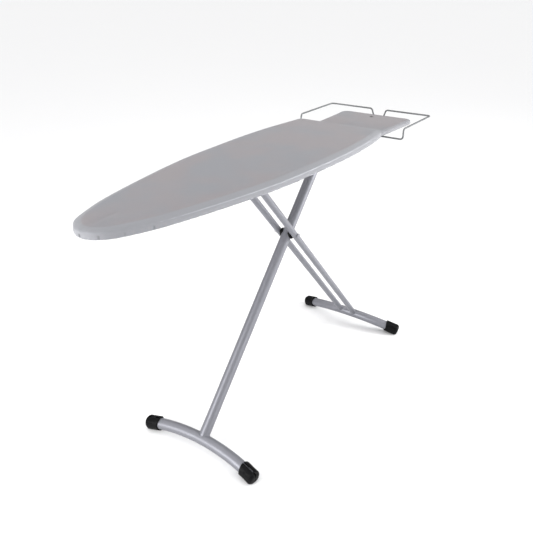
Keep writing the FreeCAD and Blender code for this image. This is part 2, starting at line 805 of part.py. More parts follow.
def make_iron_rest():
    # two wire hoops round the rest plate, held by clamp blocks under it
    for side, hand in ((-1, "left"), (1, "right")):
        save(bent_wire(hoop_points(side), wire_bend, wire_radius), "iron_rest_" + hand)
    long, wide, deep = clamp_size
    front = back_x - wire_front_from_back
    for side, hand in ((-1, "left"), (1, "right")):
        inner = clamp_inset - clamp_wall
        y0, y1 = sorted((side * inner, side * (inner + wide)))
        clamp = clamp_block(V(front - long / 2, y0, tail_bottom - deep), V(front + long / 2, y1, tail_bottom))
        end = V(front, side * clamp_inset, wire_low())
        hole = rod(end, end + V(0, side * wide, 0), wire_radius + seat_fit)
        save(clamp.cut(hole), "wire_clamp_" + hand)
    middle = rear_clamp_x()
    half = V(rear_clamp_length / 2, wire_inner_low + rear_clamp_margin, 0)
    clamp = clamp_block(V(middle, 0, tail_bottom - deep) - half, V(middle, 0, tail_bottom) + half)
    for side in (-1, 1):
        start = hoop_points(side)[0]
        clamp = clamp.cut(rod(start, start + V(rear_clamp_length, 0, 0), wire_radius + seat_fit))
    plug_bore = upright_bore(plug_x(), 0, tail_bottom - deep, tail_bottom, plug_radius)
    save(clamp.cut(plug_bore), "wire_clamp_rear")


make_board_skin()
make_tail_skin()
make_rails()
make_braces()
make_cross_bars()
make_spine()
make_pivot_bracket()
make_front_leg()
make_crossing()
make_rear_leg()
make_carriage()
make_lock_plates()
make_lock_spring()
make_guide_rod()
make_release()
make_iron_rest()
print(len(made), "nodes")
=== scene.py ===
import json
import math

import bmesh
import bpy
import numpy as np
from mathutils import Matrix, Vector


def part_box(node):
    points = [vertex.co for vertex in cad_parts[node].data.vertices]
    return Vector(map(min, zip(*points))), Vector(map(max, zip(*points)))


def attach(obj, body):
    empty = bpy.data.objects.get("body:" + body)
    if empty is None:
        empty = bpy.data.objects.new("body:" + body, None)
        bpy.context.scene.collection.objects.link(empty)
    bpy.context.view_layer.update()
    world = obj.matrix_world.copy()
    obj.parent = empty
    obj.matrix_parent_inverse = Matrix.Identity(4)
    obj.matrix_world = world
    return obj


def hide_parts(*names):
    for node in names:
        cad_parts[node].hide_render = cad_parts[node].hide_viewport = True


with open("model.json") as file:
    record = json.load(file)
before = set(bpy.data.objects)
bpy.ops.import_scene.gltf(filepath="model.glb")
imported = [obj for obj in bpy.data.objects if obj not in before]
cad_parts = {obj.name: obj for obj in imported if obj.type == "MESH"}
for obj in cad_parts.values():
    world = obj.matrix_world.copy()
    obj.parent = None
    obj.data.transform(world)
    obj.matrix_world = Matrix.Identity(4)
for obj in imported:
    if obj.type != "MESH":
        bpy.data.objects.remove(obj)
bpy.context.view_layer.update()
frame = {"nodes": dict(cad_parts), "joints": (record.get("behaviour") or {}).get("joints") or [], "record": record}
record = frame["record"]
joints = {joint["name"]: joint for joint in frame["joints"]}
scene = bpy.context.scene
print("frame loaded:", len(frame["nodes"]), "nodes")


def unit(vector):
    # vector divided by its own length, along the last axis
    vector = np.asarray(vector, float)
    return vector / np.linalg.norm(vector, axis=-1, keepdims=True)


def smoothStep(low, high, value):
    # 0 below low, 1 above high, and 3t^2 - 2t^3 between them
    t = np.clip((value - low) / (high - low), 0, 1)
    return t * t * (3 - 2 * t)


def place(name, mesh, body, slot, finish, *nodes):
    # one finished piece: on its body, in its finish, standing for its CAD nodes; the slot is not used
    piece = bpy.data.objects.new(name, mesh)
    scene.collection.objects.link(piece)
    mesh.materials.clear()
    mesh.materials.append(finish)
    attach(piece, body)
    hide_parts(*nodes)
    return piece


def weld(mesh, gap=1e-6, sharpAngle=38):
    # merges doubled points, turns faces outwards and marks real corners as sharp
    work = bmesh.new()
    work.from_mesh(mesh)
    bmesh.ops.remove_doubles(work, verts=work.verts, dist=gap)
    bmesh.ops.dissolve_degenerate(work, dist=gap, edges=work.edges)
    bmesh.ops.recalc_face_normals(work, faces=work.faces)
    work.to_mesh(mesh)
    work.free()
    mesh.shade_smooth()
    mesh.set_sharp_from_angle(angle=math.radians(sharpAngle))
    return mesh


def gridMesh(name, points, wrap=True):
    # points[row, column] joined into quads; columns close on themselves when wrap is set
    rows, columns = points.shape[:2]
    index = np.arange(rows * columns).reshape(rows, columns)
    right = np.roll(index, -1, axis=1) if wrap else index[:, 1:]
    left = index if wrap else index[:, :-1]
    quads = np.stack([left[:-1], right[:-1], right[1:], left[1:]], axis=-1).reshape(-1, 4)
    mesh = bpy.data.meshes.new(name)
    mesh.vertices.add(rows * columns)
    mesh.vertices.foreach_set("co", points.astype(np.float32).ravel())
    mesh.loops.add(quads.size)
    mesh.loops.foreach_set("vertex_index", quads.astype(np.int32).ravel())
    mesh.polygons.add(len(quads))
    mesh.polygons.foreach_set("loop_start", np.arange(0, quads.size, 4, dtype=np.int32))
    mesh.update(calc_edges=True)
    return mesh


def joined(name, meshes):
    # several meshes as one
    work = bmesh.new()
    for mesh in meshes:
        work.from_mesh(mesh)
    whole = bpy.data.meshes.new(name)
    work.to_mesh(whole)
    work.free()
    return whole


def floatAttribute(mesh, name, values):
    # one number at each point of the mesh, kept under a name
    mesh.attributes.new(name, "FLOAT", "POINT").data.foreach_set("value", values.astype(np.float32).ravel())


def tubeAlong(name, path, radius, around=32, roundEnd=0.0):
    # a ring of the given radius carried along a path: point = path + radius (cos a * side + sin a * up),
    # where side and up are turned with the path so that they never twist
    path = np.asarray(path, float)
    radii = np.broadcast_to(np.asarray(radius, float), len(path))
    way = unit(np.gradient(path, axis=0))
    side = unit(np.cross(way[0], [0.31, 0.22, 0.93]))
    sides = [side]
    for direction in way[1:]:
        side = unit(side - direction * np.dot(side, direction))
        sides.append(side)
    sides = np.array(sides)
    ups = np.cross(way, sides)
    angle = np.linspace(0, 2 * np.pi, around, endpoint=False)
    ring = np.cos(angle)[None, :, None] * sides[:, None] + np.sin(angle)[None, :, None] * ups[:, None]
    rings = path[:, None] + ring * radii[:, None, None]
    first, last = rings[0], rings[-1]
    lip = max(roundEnd, 1e-5)
    closed = [np.repeat(path[:1], around, 0) - way[0] * lip]
    closed.append(path[0] + (first - path[0]) * (1 - lip / radii[0]) - way[0] * lip)
    closed.extend(rings)
    closed.append(path[-1] + (last - path[-1]) * (1 - lip / radii[-1]) + way[-1] * lip)
    closed.append(np.repeat(path[-1:], around, 0) + way[-1] * lip)
    return weld(gridMesh(name, np.array(closed)), 1e-7, 50)


def roundedPath(points, bend, steps=9):
    # straight runs joined by arcs of one bend radius that touch both runs
    points = [np.asarray(point, float) for point in points]
    path = [points[0]]
    for before, corner, after in zip(points, points[1:], points[2:]):
        back, ahead = unit(before - corner), unit(after - corner)
        halfTurn = math.acos(float(back @ ahead)) / 2
        middle = unit(back + ahead)
        centre = corner + middle * bend / math.sin(halfTurn)
        swing = np.linspace(-1, 1, steps)[:, None] * (math.pi / 2 - halfTurn)
        across = unit(ahead - middle * (ahead @ middle))
        path.extend(centre + bend * (-np.cos(swing) * middle + np.sin(swing) * across))
    path.append(points[-1])
    return np.array(path)


class Term:
    # a socket that takes part in sums; each sum adds one Math node
    def __init__(self, finish, socket):
        self.finish = finish
        self.socket = socket

    def sum(self, operation, *others):
        values = dict(enumerate([self, *others]))
        return self.finish.add("ShaderNodeMath", {"operation": operation}, values)

    def __add__(self, other):
        return self.sum("ADD", other)

    def __radd__(self, other):
        return self.finish.add("ShaderNodeMath", {"operation": "ADD"}, {0: other, 1: self})

    def __mul__(self, other):
        return self.sum("MULTIPLY", other)

    def sine(self):
        return self.sum("SINE")

    def between(self, low, high):
        # 0 below low, 1 above high, smooth between
        return self.finish.add("ShaderNodeMapRange", {"interpolation_type": "SMOOTHSTEP"},
                               {"Value": self, "From Min": low, "From Max": high})


class Finish:
    # one material: a Principled shader, and nodes added by type, settings and inputs
    def __init__(self, name, color, roughness, metallic=0.0, **fixed):
        self.material = bpy.data.materials.new(name)
        self.material.use_nodes = True
        self.tree = self.material.node_tree
        self.shader = self.tree.nodes["Principled BSDF"]
        self.set("Base Color", (*color, 1.0))
        self.set("Roughness", roughness)
        self.set("Metallic", metallic)
        for socket, value in fixed.items():
            self.set(socket.replace("_", " "), value)

    def set(self, socket, value):
        # a plain value is kept on the socket itself, and a term is linked to it
        target = self.shader.inputs[socket]
        if isinstance(value, Term):
            self.tree.links.new(value.socket, target)
        else:
            target.default_value = value

    def add(self, kind, settings=None, inputs=None, output=0):
        # a node of this kind with its settings made and its inputs filled or linked; gives one output
        node = self.tree.nodes.new(kind)
        for key, value in (settings or {}).items():
            setattr(node, key, value)
        for key, value in (inputs or {}).items():
            if isinstance(value, Term):
                self.tree.links.new(value.socket, node.inputs[key])
            else:
                node.inputs[key].default_value = value
        return Term(self, node.outputs[output])

    def place(self):
        # the point's place in the piece's own frame, in metres
        return self.add("ShaderNodeTexCoord", output="Object")

    def axes(self, vector):
        # a vector's x, y and z as three terms
        node = self.add("ShaderNodeSeparateXYZ", inputs={0: vector})
        outputs = node.socket.node.outputs
        return [Term(self, outputs[axis]) for axis in ("X", "Y", "Z")]

    def stretched(self, vector, scale):
        # a vector times a scale on each axis
        return self.add("ShaderNodeMapping", inputs={"Vector": vector, "Scale": scale})

    def noise(self, vector, scale, detail=3.0, roughness=0.55):
        # wandering values near one half; scale is how many swings there are in a metre
        return self.add("ShaderNodeTexNoise", inputs={"Vector": vector, "Scale": scale, "Detail": detail,
                                                      "Roughness": roughness})

    def mix(self, factor, first, second):
        # first colour where factor is 0, second where it is 1
        return self.add("ShaderNodeMix", {"data_type": "RGBA"}, {0: factor, 6: first, 7: second}, output=2)

    def attribute(self, name):
        # a number that the mesh keeps at each point
        return self.add("ShaderNodeAttribute", {"attribute_name": name}, output="Fac")

    def bump(self, height, strength, distance):
        # small relief: the shading normal leans with the height
        relief = self.add("ShaderNodeBump", inputs={"Strength": strength, "Distance": distance,
                                                    "Height": height})
        self.set("Normal", relief)


def rgba(color):
    # a colour with full cover as its fourth number
    return (*color, 1.0)


def coverFinish():
    # silver-grey cotton: plain weave, warm and cool patches, a cooler tone towards the padded edge that is also
    # painted lighter there as painted light on the wall, painted shade where the hem is turned and in the gather
    # creases, and a dark nose seam line with painted shade in its groove; the weave is sin x * sin y + part of sin
    # z
    look = {"warm": (0.240, 0.220, 0.230), "cool": (0.216, 0.220, 0.240), "edge": (0.252, 0.256, 0.274),
            "speck": (0.17, 0.17, 0.185), "stitch": (0.045, 0.045, 0.05), "thread": 0.0009, "weave": 0.35,
            "patch": 5.0, "speckShare": 0.22, "speckScale": 900.0, "fluffScale": 260.0, "wornScale": 35.0}
    cloth = Finish("coverCotton", look["warm"], 0.72, Sheen_Weight=0.25, Sheen_Roughness=0.4,
                   Specular_IOR_Level=0.35)
    where = cloth.place()
    patches = cloth.noise(where, look["patch"], 2.0).between(0.38, 0.62)
    ground = cloth.mix(patches, rgba(look["warm"]), rgba(look["cool"]))
    # painted light: the padded edge and wall are painted a little lighter as well as cooler, standing in for the
    # light the wall gets
    edge = cloth.attribute("nearEdge")
    ground = cloth.mix(edge, ground, rgba(look["edge"]))
    speck = cloth.noise(where, look["speckScale"], 2.0)
    shade = cloth.mix(speck.between(0.3, 0.75) * look["speckShare"], ground, rgba(look["speck"]))
    # painted shade: the turned hem and the gather creases are darkened towards the dark seam colour, and so is the
    # nose seam line
    cloth.set("Base Color", cloth.mix(cloth.attribute("folded"), shade, rgba(look["stitch"])))
    x, y, z = cloth.axes(where)
    turns = 2 * math.pi / look["thread"]
    weave = (x * turns).sine() * (y * turns).sine() + (z * turns).sine() * 0.4
    fluff = cloth.noise(where, look["fluffScale"], 3.0)
    cloth.set("Roughness", 0.64 + cloth.noise(where, look["wornScale"]) * 0.16)
    cloth.bump(weave * 0.5 + fluff * 0.9, look["weave"], 0.0004)
    return cloth.material


def powderCoat(name, color, metallic=0.55, roughness=0.36):
    # silver powder coat: fine orange peel, tiny pale flakes, cloudy patches a little duller and rougher
    coat = Finish(name, color, roughness, metallic, Coat_Weight=0.05, Coat_Roughness=0.35)
    where = coat.place()
    flakes = coat.noise(where, 2400.0, 1.0, 0.4).between(0.42, 0.7)
    wear = coat.noise(where, 14.0, 4.0).between(0.35, 0.75)
    light = tuple(channel * 1.22 for channel in color)
    tone = coat.mix(flakes * 0.35, rgba(color), rgba(light))
    dull = tuple(channel * 0.9 for channel in color)
    coat.set("Base Color", coat.mix(wear * 0.35, tone, rgba(dull)))
    coat.set("Roughness", roughness + wear * 0.10)
    coat.bump(coat.noise(where, 420.0, 2.0), 0.12, 0.0006)
    return coat.material


def mouldedPlastic(name, color, roughness, specular):
    # moulded plastic: fine spark-eroded grain and faint scuffs
    plastic = Finish(name, color, roughness, Specular_IOR_Level=specular)
    where = plastic.place()
    grain = plastic.noise(where, 1500.0, 2.0)
    scuff = plastic.noise(plastic.stretched(where, (1.0, 1.0, 6.0)), 40.0, 4.0).between(0.5, 0.8)
    pale = tuple(min(1.0, channel * 1.5 + 0.004) for channel in color)
    plastic.set("Base Color", plastic.mix(scuff * 0.5, rgba(color), rgba(pale)))
    plastic.set("Roughness", roughness + scuff * 0.18)
    plastic.bump(grain, 0.18, 0.0003)
    return plastic.material


def brightZinc():
    # zinc plate: drawn lines and cloudy patches
    zinc = Finish("brightZinc", (0.62, 0.62, 0.60), 0.3, 1.0)
    where = zinc.place()
    lines = zinc.noise(zinc.stretched(where, (40.0, 900.0, 900.0)), 1.0, 3.0)
    clouds = zinc.noise(where, 90.0, 3.0).between(0.35, 0.65)
    zinc.set("Base Color", zinc.mix(clouds * 0.5, rgba((0.66, 0.66, 0.65)), rgba((0.52, 0.52, 0.53))))
    zinc.set("Roughness", 0.24 + lines * 0.2)
    zinc.bump(lines, 0.1, 0.0002)
    return zinc.material


def feltFinish():
    # needled felt: matted fibres in two sizes
    felt = Finish("needledFelt", (0.70, 0.69, 0.65), 0.95, Sheen_Weight=0.3)
    where = felt.place()
    fibres = felt.noise(where, 700.0, 5.0, 0.7)
    clumps = felt.noise(where, 60.0, 4.0)
    tone = felt.mix(clumps.between(0.3, 0.7), rgba((0.74, 0.73, 0.69)), rgba((0.60, 0.59, 0.56)))
    felt.set("Base Color", tone)
    felt.bump(fibres + clumps * 0.5, 0.6, 0.001)
    return felt.material


def fibreboardFinish():
    # pressed fibreboard: short mixed fibres
    fibreboard = Finish("pressedFibre", (0.36, 0.25, 0.15), 0.8)
    where = fibreboard.place()
    fibres = fibreboard.noise(fibreboard.stretched(where, (1.0, 3.0, 8.0)), 220.0, 6.0, 0.7)
    tone = fibreboard.mix(fibres.between(0.3, 0.7), rgba((0.42, 0.30, 0.19)), rgba((0.26, 0.18, 0.11)))
    fibreboard.set("Base Color", tone)
    fibreboard.bump(fibres, 0.3, 0.0005)
    return fibreboard.material


def floorFinish():
    # smooth pale paper, a little rougher in clouds
    floor = Finish("paleFloor", (0.86, 0.86, 0.865), 0.75, Specular_IOR_Level=0.2)
    where = floor.place()
    cloud = floor.noise(where, 1.3, 2.0)
    floor.set("Roughness", 0.7 + cloud * 0.1)
    return floor.material


finishes = {
    "cover_fabric": coverFinish(),
    "felt": feltFinish(),
    "mesh_steel": powderCoat("meshCoat", (0.40, 0.41, 0.44)),
    "frame_steel": powderCoat("frameCoat", (0.36, 0.37, 0.40)),
    "leg_steel": powderCoat("legCoat", (0.190, 0.192, 0.215), 0.4, 0.4),
    "wire_steel": powderCoat("wireCoat", (0.15, 0.155, 0.16), 0.4, 0.42),
    "black_plastic": mouldedPlastic("blackPlastic", (0.0045, 0.0045, 0.005), 0.42, 0.07),
    "white_nylon": mouldedPlastic("whiteNylon", (0.78, 0.78, 0.75), 0.5, 0.45),
    "zinc_steel": brightZinc(),
    "fibreboard": fibreboardFinish(),
}
slotOf = {part["node"]: part["material_slot"] for part in record["subparts"]}
bodyOf = {node: body for body, members in record["behaviour"]["bodies"].items() for node in members}
for nodeName, node in frame["nodes"].items():
    node.data.materials.clear()
    node.data.materials.append(finishes[slotOf[nodeName]])
print("finishes made:", len(finishes))


def makeCamera():
    # heading is turned from +X towards +Y and pitch is negative below the horizon, in degrees:
    # ahead = (cos pitch cos heading, cos pitch sin heading, sin pitch); the camera then rolls about it
    view = {"lens": 41.0, "sensor": 36.0, "position": (-1.4895, -1.0534, 1.4196), "heading": 35.93,
            "pitch": -26.72, "roll": -0.64}
    heading, pitch, roll = (math.radians(view[key]) for key in ("heading", "pitch", "roll"))
    ahead = np.array([math.cos(pitch) * math.cos(heading), math.cos(pitch) * math.sin(heading),
                      math.sin(pitch)])
    level = np.array([math.sin(heading), -math.cos(heading), 0.0])
    above = np.cross(level, ahead)
    right = math.cos(roll) * level + math.sin(roll) * above
    up = math.cos(roll) * above - math.sin(roll) * level
    data = bpy.data.cameras.new("camera")
    data.lens = view["lens"]
    data.sensor_width = view["sensor"]
    camera = bpy.data.objects.new("camera", data)
    scene.collection.objects.link(camera)
    turned = Matrix((right, up, -ahead)).transposed().to_4x4()
    camera.matrix_world = Matrix.Translation(view["position"]) @ turned
    scene.camera = camera


def areaLight(name, position, target, size, power):
    # a soft box: a lit rectangle turned to face its target
    data = bpy.data.lights.new(name, "AREA")
    data.shape = "RECTANGLE"
    data.size, data.size_y = size
    data.energy = power
    light = bpy.data.objects.new(name, data)
    scene.collection.objects.link(light)
    light.location = position
    light.rotation_euler = (Vector(target) - Vector(position)).to_track_quat("-Z", "Y").to_euler()


def makeStudio():
    # a pale floor, a white backdrop that only the camera sees, a dim surround that brightens overhead,
    # a high soft sun, a soft box at each end and a narrow one along the near side
    studio = {"floorSize": 60.0, "horizon": 0.2, "zenith": 0.55, "sun": 2.1, "sunAngle": 95.0,
              "backdrop": 1.0}
    white = (1.0, 1.0, 1.0, 1.0)
    half = studio["floorSize"] / 2
    corners = np.array([[[-half, -half, 0], [half, -half, 0]], [[-half, half, 0], [half, half, 0]]], float)
    floor = bpy.data.objects.new("floor", gridMesh("floor", corners, wrap=False))
    scene.collection.objects.link(floor)
    floor.data.materials.append(floorFinish())
    world = bpy.data.worlds.new("surround")
    world.use_nodes = True
    nodes, links = world.node_tree.nodes, world.node_tree.links
    direction = nodes.new("ShaderNodeTexCoord")
    axes = nodes.new("ShaderNodeSeparateXYZ")
    brightness = nodes.new("ShaderNodeMapRange")
    brightness.inputs["To Min"].default_value = studio["horizon"]
    brightness.inputs["To Max"].default_value = studio["zenith"]
    links.new(direction.outputs["Generated"], axes.inputs[0])
    links.new(axes.outputs["Z"], brightness.inputs["Value"])
    links.new(brightness.outputs[0], nodes["Background"].inputs["Strength"])
    nodes["Background"].inputs["Color"].default_value = white
    backdrop = nodes.new("ShaderNodeBackground")
    backdrop.inputs["Color"].default_value = white
    backdrop.inputs["Strength"].default_value = studio["backdrop"]
    seen = nodes.new("ShaderNodeMixShader")
    links.new(nodes.new("ShaderNodeLightPath").outputs["Is Camera Ray"], seen.inputs[0])
    links.new(nodes["Background"].outputs[0], seen.inputs[1])
    links.new(backdrop.outputs[0], seen.inputs[2])
    links.new(seen.outputs[0], nodes["World Output"].inputs["Surface"])
    scene.world = world
    sun = bpy.data.lights.new("highSun", "SUN")
    sun.energy = studio["sun"]
    sun.angle = math.radians(studio["sunAngle"])
    high = bpy.data.objects.new("highSun", sun)
    scene.collection.objects.link(high)
    areaLight("noseBox", (-3.1, 0.9, 1.2), (-0.5, 0.0, 0.75), (1.3, 1.7), 100)
    areaLight("tailBox", (2.1, -2.6, 1.3), (0.3, 0.0, 0.7), (1.0, 1.6), 110)
    areaLight("nearStrip", (-0.35, -2.7, 0.55), (0.1, 0.0, 0.5), (0.22, 1.3), 16)
    scene.view_settings.view_transform = "Standard"
    scene.view_settings.exposure = 0.0


makeCamera()
makeStudio()
print("camera, light and floor made")


def planOf(node, directions=2400):
    # the node's outline seen from above: the farthest point in each direction, starting where the outline
    # crosses the middle line at its front end
    mesh = frame["nodes"][node].data
    flat = np.empty(len(mesh.vertices) * 3, np.float32)
    mesh.vertices.foreach_get("co", flat)
    flat = flat.reshape(-1, 3)[:, :2].astype(float)
    turn = np.pi + np.linspace(0, 2 * np.pi, directions, endpoint=False)
    farthest = np.argmax(np.stack([np.cos(turn), np.sin(turn)], axis=1) @ flat.T, axis=1)
    outline = flat[farthest[farthest != np.roll(farthest, 1)]]
    following = np.roll(outline, -1, axis=0)
    crosses = np.flatnonzero(outline[:, 1] * following[:, 1] <= 0)
    last = crosses[np.argmin(outline[crosses, 0])]
    share = outline[last, 1] / (outline[last, 1] - following[last, 1])
    start = outline[last] + (following[last] - outline[last]) * share
    return np.vstack([start, np.roll(outline, -last - 1, axis=0)])


def spacedRing(outline, count, noseShare=3.0, noseReach=0.035):
    # points round the outline, closer together near the nose, smoothed and then averaged with their own
    # mirror image; also the way out, the distance from the nose and how much the line turns
    ring = np.vstack([outline, outline[:1]])
    length = np.concatenate([[0], np.cumsum(np.linalg.norm(np.diff(ring, axis=0), axis=1))])
    whole = length[-1]
    along = np.linspace(0, whole, 6000)
    fromNose = np.minimum(along, whole - along)
    density = 1 + noseShare * np.exp(-(fromNose / noseReach) ** 2)
    gathered = np.concatenate([[0], np.cumsum((density[1:] + density[:-1]) / 2)])
    places = np.interp(np.linspace(0, gathered[-1], count, endpoint=False), gathered, along)
    points = np.stack([np.interp(places, length, ring[:, axis]) for axis in (0, 1)], axis=1)
    for _ in range(5):
        points = (np.roll(points, 1, axis=0) + 2 * points + np.roll(points, -1, axis=0)) / 4
    points = (points + np.roll(points[::-1], 1, axis=0) * [1, -1]) / 2
    way = unit(np.roll(points, -1, axis=0) - np.roll(points, 1, axis=0))
    outward = np.stack([way[:, 1], -way[:, 0]], axis=1)
    bend = np.linalg.norm(np.roll(way, -8, axis=0) - np.roll(way, 8, axis=0), axis=1)
    return points, outward, np.where(places < whole / 2, places, places - whole), bend


clothLook = {
    "gatherSizes": ((1.0, 0.6), (0.47, 0.25), (2.6, 0.5)), "waves": 11, "waveFade": 0.6, "wander": 0.45,
    "roundness": 0.8, "straightShare": 0.3, "calmReach": 5, "creaseDeep": 0.04, "creaseEnd": 0.3,
    "mostInward": 0.3, "nearRun": 0.3, "shadeFrom": 0.35, "shadeFull": 0.6, "hemEnd": 0.2,
    "creaseShade": 0.45, "creaseHold": 3, "gap": 0.0003,
}


def gathers(places, bend, look):
    # cloth drawn in along the hem: |sin of a wandering angle| in three sizes added up, which gives bulges
    # between narrow creases, stronger where the plan turns; also how far into a crease each place lies
    draw = np.random.default_rng(look["seed"])
    whole = places.max() - places.min()
    share = (places - places.min()) / whole
    total = np.zeros(len(places))
    for scale, weight in clothLook["gatherSizes"]:
        wander = np.zeros(len(places))
        for harmonic in range(1, clothLook["waves"] + 1):
            wave = harmonic * share * 2 * np.pi + draw.uniform(0, 6.28)
            wander += draw.normal() * np.sin(wave) / harmonic ** clothLook["waveFade"]
        turns = round(whole / (look["spacing"] * scale))
        angle = (turns * share + wander * clothLook["wander"]) * np.pi
        total += weight * np.abs(np.sin(angle)) ** clothLook["roundness"]
    straight = clothLook["straightShare"]
    curved = smoothStep(look["calm"], look["calm"] * clothLook["calmReach"], bend)
    turning = straight + (1 - straight) * curved
    lift = (total - total.min()) / np.ptp(total)
    deep = 1 - smoothStep(clothLook["creaseDeep"], clothLook["creaseEnd"], lift)
    swell = np.maximum(total - total.mean(), -clothLook["mostInward"])
    return swell * look["gather"] * turning, deep * turning


def band(share, inset, height, near, pushOut, pushDown):
    # rows of a section: place between the middle line and the edge, distance in from the edge, height,
    # nearness to the edge, and how far the gathers move the row out and down
    columns = np.atleast_1d(share, inset, height, near, pushOut, pushDown)
    return np.column_stack(np.broadcast_arrays(*columns))


def shoulder(look, top, inward=0.0):
    # the padded edge: a slope, fall * run ^ crisp, then a round of one radius from beginTurn to upright
    radius = look["rounding"] - inward
    begin = look["beginTurn"]
    run = np.linspace(0, 1, look["edgeRows"])[1:]
    endInset = radius * (1 - math.sin(begin)) + inward
    near = smoothStep(0, clothLook["nearRun"], run)
    slope = band(1.0, look["edge"] + (endInset - look["edge"]) * run,
                 top - look["fall"] * run ** look["crisp"], near, 0.0, 0.0)
    swing = begin + (math.pi / 2 - begin) * run
    drop = look["fall"] + radius * (math.cos(begin) - np.cos(swing))
    arc = band(1.0, inward + radius * (1 - np.sin(swing)), top - drop, 1.0, 0.25 * run ** 2, 0.0)
    return np.vstack([slope, arc]), top - drop[-1]


def crownRows(look, top, rows):
    # from the middle line out to the edge the height falls by crown * share cubed
    share = np.linspace(0, 1, rows)
    return band(share, look["edge"], top - look["crown"] * share ** 3, 0.0, 0.0, 0.0)


def coverSection(look, low, high):
    # over the top, round the edge, down the side, under the hem to its rolled edge, and back up inside
    cloth, hem, fold = look["cloth"], look["hem"], look["hemFold"]
    top = high - look["crown"]
    over = crownRows(look, high, look["topRows"])
    edge, side = shoulder(look, top)
    run = np.linspace(0, 1, look["sideRows"] + 1)[1:]
    tuck = look["tuck"] * run ** 2 - look["bulge"] * np.sin(run * np.pi)
    wall = band(1.0, tuck, side + (low + fold - side) * run, 1.0, 0.25 + 0.75 * run, 0.0)
    swing = run * math.pi / 2
    under = band(1.0, look["tuck"] + fold * (1 - np.cos(swing)), low + fold * (1 - np.sin(swing)), 1.0,
                 1.0 - 0.6 * run, 0.5 * run)
    start = look["tuck"] + fold
    bead = look["bead"]
    flat = band(1.0, start + (hem - bead - start) * run, low, 1.0, 0.4 * (1 - run),
                0.5 + 0.6 * np.sin(run * np.pi))
    roll = np.linspace(-0.5, 0.9, 8) * math.pi
    rolled = band(1.0, hem - bead + bead * np.cos(roll), low + bead + bead * np.sin(roll), 1.0, 0.0, 0.5)
    inner = np.vstack([
        band(1.0, hem - 2 * bead, low + cloth, 1.0, 0.0, 0.3),
        band(1.0, cloth, low + cloth, 1.0, 0.3, 0.0),
        band(1.0, cloth, side, 1.0, 0.2, 0.0),
        band(1.0, look["rounding"], top - look["fall"] - cloth, 0.5, 0.0, 0.0),
        band(1.0, look["edge"], top - cloth, 0.0, 0.0, 0.0),
        band(0.0, look["edge"], high - cloth, 0.0, 0.0, 0.0)])
    outer = np.vstack([over, edge, wall, under, flat, rolled])
    return np.vstack([outer, inner]), len(outer) - len(rolled) - len(flat) // 2


def padSection(look, low, high):
    # the pad fills the cover's top down to the panel
    cloth = look["cloth"] + clothLook["gap"]
    over = crownRows(look, high - cloth, look["topRows"])
    edge = shoulder(look, high - look["crown"] - cloth, cloth)[0]
    edge = edge[edge[:, 2] > low + 0.0002]
    floor = np.vstack([
        band(1.0, edge[-1, 1], low, 1.0, 0.0, 0.0),
        band(1.0, look["edge"], low, 0.0, 0.0, 0.0),
        band(0.0, look["edge"], low, 0.0, 0.0, 0.0)])
    return np.vstack([over, edge, floor])


def sweptPlan(name, plan, section, look, gather):
    # every section row carried round the plan: middle + share * (edge - inset * outward - middle)
    ring, outward = plan[:2]
    middle = np.stack([np.clip(ring[:, 0], ring[:, 0].min() + look["spineFront"],
                               ring[:, 0].max() - look["spineBack"]), np.zeros(len(ring))], axis=1)
    share, inset, height, near, pushOut, pushDown = (column[:, None] for column in section.T)
    edge = ring - outward * inset[..., None]
    flat = middle + (edge - middle) * share[..., None] + outward * (gather * pushOut)[..., None]
    points = np.concatenate([flat, (height - gather * pushDown)[..., None]], axis=-1)
    mesh = gridMesh(name, points)
    floatAttribute(mesh, "nearEdge", np.broadcast_to(near, points.shape[:2]))
    return mesh, points


def puffed(mesh, look, free):
    # Cloth with a little air pressure; inner rows are held, and no point moves further than the cap
    count = len(mesh.vertices)
    rest = np.empty(count * 3, np.float32)
    mesh.vertices.foreach_get("co", rest)
    trial = bpy.data.objects.new("clothTrial", mesh.copy())
    scene.collection.objects.link(trial)
    held = trial.vertex_groups.new(name="held")
    held.add(np.flatnonzero(~free).tolist(), 1.0, "REPLACE")
    cloth = trial.modifiers.new("cloth", "CLOTH")
    settings = cloth.settings
    settings.quality = 4
    settings.mass = 0.2
    settings.tension_stiffness = look["stretch"]
    settings.compression_stiffness = look["stretch"]
    settings.bending_stiffness = look["bending"]
    settings.vertex_group_mass = "held"
    settings.use_pressure = True
    settings.uniform_pressure_force = look["pressure"]
    settings.effector_weights.gravity = 0.0
    for number in range(1, look["steps"] + 1):
        scene.frame_set(number)
    shaped = trial.evaluated_get(bpy.context.evaluated_depsgraph_get()).data
    moved = np.empty(count * 3, np.float32)
    shaped.vertices.foreach_get("co", moved)
    bpy.data.objects.remove(trial)
    scene.frame_set(1)
    step = (moved - rest).reshape(-1, 3)
    size = np.linalg.norm(step, axis=1, keepdims=True)
    step *= look["cap"] * np.tanh(size / look["cap"]) / np.maximum(size, 1e-9)
    mesh.vertices.foreach_set("co", (rest.reshape(-1, 3) + step).ravel())
    mesh.update()
    print("cloth settled, largest move mm", round(float(np.linalg.norm(step, axis=1).max()) * 1000, 2))


